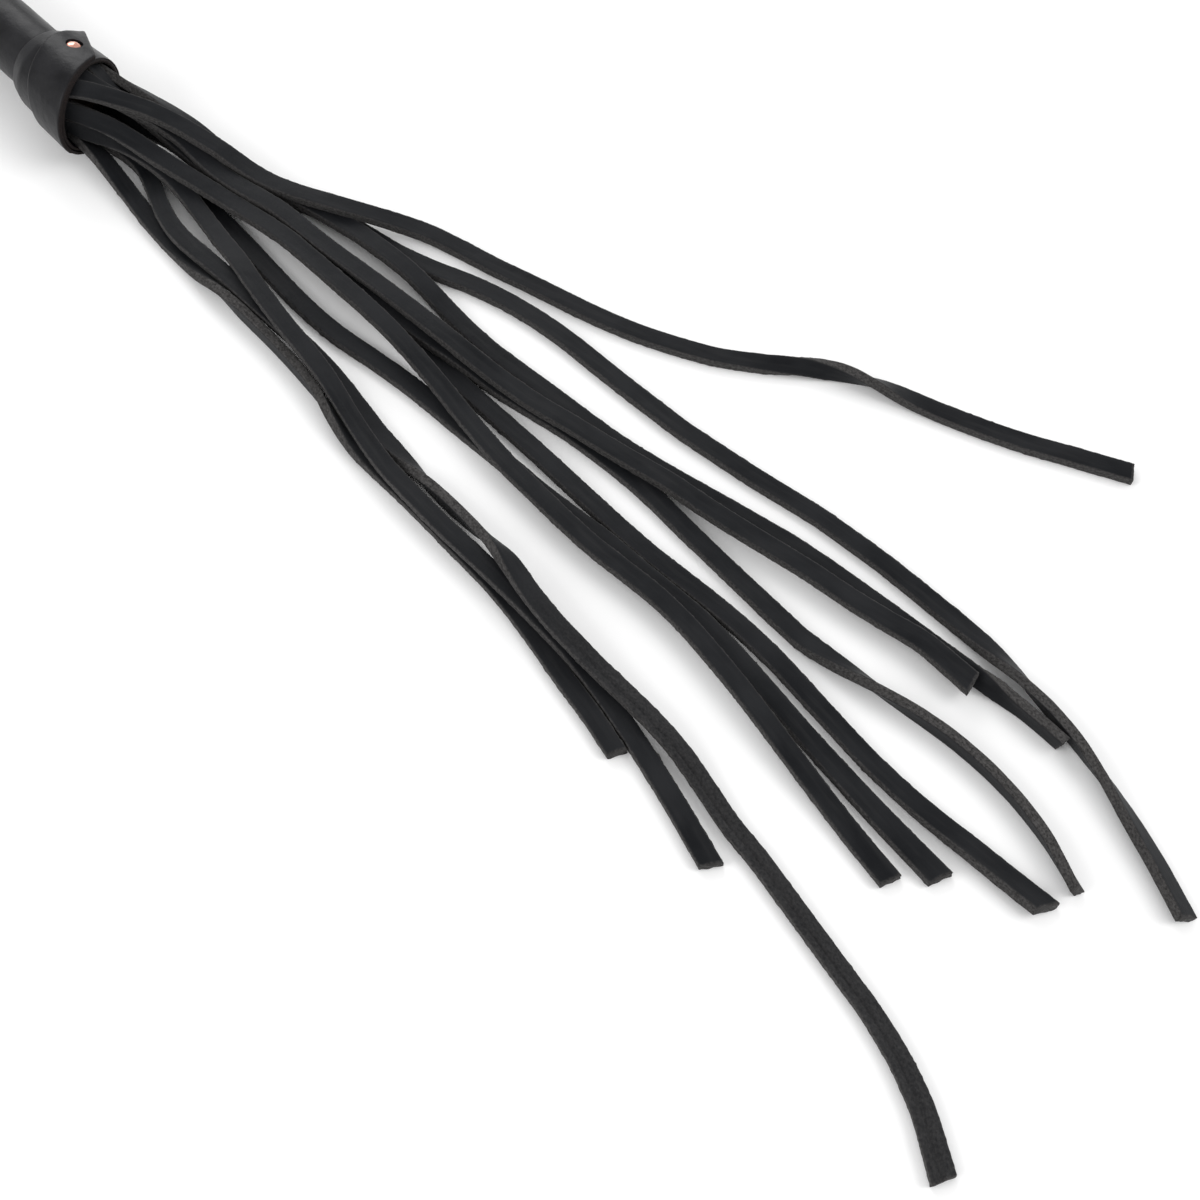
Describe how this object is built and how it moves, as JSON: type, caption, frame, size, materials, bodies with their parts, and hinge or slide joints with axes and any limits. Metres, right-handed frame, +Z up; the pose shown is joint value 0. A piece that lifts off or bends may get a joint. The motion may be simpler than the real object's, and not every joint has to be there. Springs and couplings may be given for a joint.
{
  "type": "riding crop",
  "caption": "Riding crop with a round leather covered handle, a wrapped and riveted collar, a bunch of loose flat leather falls and a swinging wrist strap.",
  "frame": {"origin": "on the floor, under the middle of the box round the handle, collar and wrist strap (the loose falls are left out)", "axes": "+X along the handle from the wrist strap towards the falls, +Z up, with the crop lying on the floor"},
  "size_m": [0.8266, 0.1634, 0.026],
  "materials": {
    "core_wood": "dark stained hardwood dowel",
    "cover_leather": "smooth black leather, semi-matt",
    "waxed_thread": "black waxed thread",
    "grip_leather": "black leather lace, semi-matt",
    "band_leather": "black leather, semi-matt",
    "brass_tack": "polished brass",
    "collar_leather": "smooth black leather with worn edges",
    "copper_rivet": "polished copper coloured metal",
    "fall_leather": "black leather, smooth on the grain side and rough on the cut edges",
    "cap_wood": "black stained hardwood",
    "pin_steel": "plain steel",
    "strap_leather": "black leather strap"
  },
  "bodies": {
    "handle": {"core_rod": "core_wood", "handle_cover": "cover_leather", "cover_stitches": "waxed_thread", "grip_wrap": "grip_leather", "grip_band_front": "band_leather", "grip_band_rear": "band_leather", "band_tacks": "brass_tack", "root_binding": "waxed_thread", "front_collar": "collar_leather", "collar_rivet": "copper_rivet", "rivet_burr": "copper_rivet", "fall_01": "fall_leather", "fall_02": "fall_leather", "fall_03": "fall_leather", "fall_04": "fall_leather", "fall_05": "fall_leather", "fall_06": "fall_leather", "fall_07": "fall_leather", "fall_08": "fall_leather", "fall_09": "fall_leather", "fall_10": "fall_leather", "fall_11": "fall_leather", "butt_cap": "cap_wood", "strap_pin": "pin_steel"},
    "strap": {"wrist_strap": "strap_leather"},
    "keeper": {"strap_keeper": "band_leather"}
  },
  "joints": [
    {"name": "strap_swing", "type": "hinge", "parent": "handle", "child": "strap", "pos_m": [-0.0614, 0, 0.013], "axis": [0, 0, 1], "range_deg": [-60, 60]},
    {"name": "keeper_slide", "type": "slide", "parent": "strap", "child": "keeper", "axis": [-1, 0, 0], "range_m": [0, 0.026]}
  ]
}
